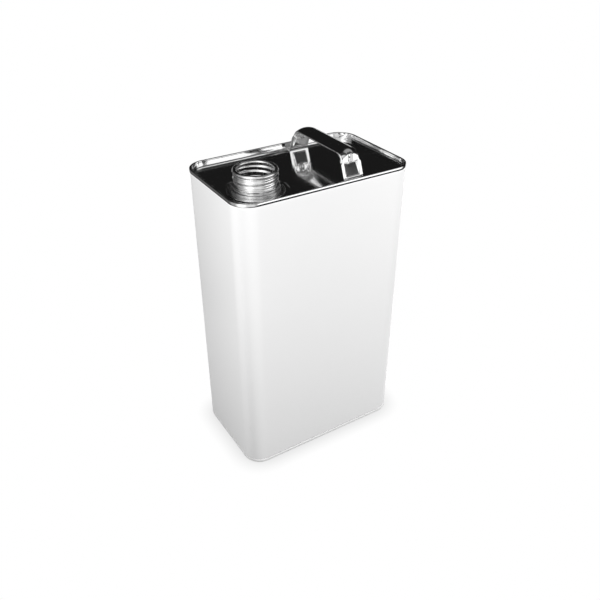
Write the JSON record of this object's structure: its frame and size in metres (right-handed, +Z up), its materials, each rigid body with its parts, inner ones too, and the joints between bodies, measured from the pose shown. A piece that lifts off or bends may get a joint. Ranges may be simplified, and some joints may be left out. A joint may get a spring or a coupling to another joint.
{
  "type": "rectangular tin can",
  "caption": "Tall rectangular white tinplate can with rounded corners, a recessed bright top, a strap handle and an open screw neck.",
  "frame": {"origin": "middle of the base, on the surface that the can stands on", "axes": "+Z up the can, +X along the broad side towards the handle's end, +Y across the narrow side towards the back with the side seam; the neck is at -X -Y"},
  "size_m": [0.178, 0.11, 0.3078],
  "materials": {
    "white_enamel": "satin white enamel on tinplate",
    "weld_bare_steel": "bare welded lap",
    "top_tinplate": "bright tinplate",
    "base_enamel": "satin white enamel on tinplate",
    "top_compound": "cured sealing compound",
    "bottom_compound": "cured sealing compound",
    "neck_tinplate": "bright drawn tinplate",
    "gasket_rubber": "matte rubber",
    "strap_tinplate": "bright tinplate"
  },
  "bodies": {
    "root": {"body_shell": "white_enamel", "side_seam_weld": "weld_bare_steel", "top_end": "top_tinplate", "bottom_end": "base_enamel", "top_seam_compound": "top_compound", "bottom_seam_compound": "bottom_compound", "neck": "neck_tinplate", "neck_gasket": "gasket_rubber", "handle_strap": "strap_tinplate"}
  },
  "joints": []
}
